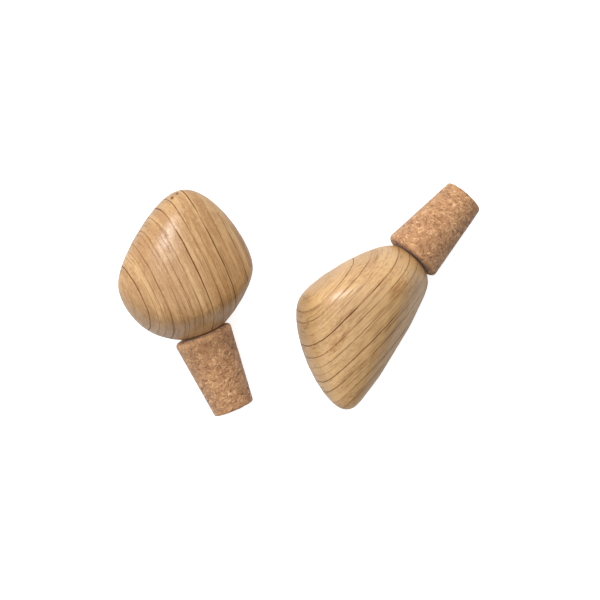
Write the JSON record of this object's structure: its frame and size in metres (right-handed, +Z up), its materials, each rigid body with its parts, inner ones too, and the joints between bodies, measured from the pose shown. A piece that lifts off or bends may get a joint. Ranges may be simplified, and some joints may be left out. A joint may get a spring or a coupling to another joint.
{
  "type": "bottle stopper set",
  "caption": "Loose bottle stoppers, each a soft faceted oak pebble pinned to a tapered cork plug, lying on their sides.",
  "frame": {"origin": "middle of the ground that the stoppers cover, on the surface they lie on", "axes": "+Z up from the surface; +X from the broad stopper towards the slim one; +Y towards the slim stopper's cork"},
  "size_m": [0.1398, 0.0914, 0.0434],
  "materials": {
    "oak": "oiled oak, satin, straight grain along the stopper",
    "cork": "pressed cork granules, matt",
    "dowel_wood": "raw beech, fluted"
  },
  "bodies": {
    "broad_stopper": {"broad_oak_head": "oak", "broad_cork": "cork", "broad_dowel": "dowel_wood"},
    "slim_stopper": {"slim_oak_head": "oak", "slim_cork": "cork", "slim_dowel": "dowel_wood"}
  },
  "joints": [
    {"name": "slim_stopper_lift", "type": "slide", "parent": "broad_stopper", "child": "slim_stopper", "axis": [0, 0, 1], "range_m": [0, 0.08]}
  ]
}
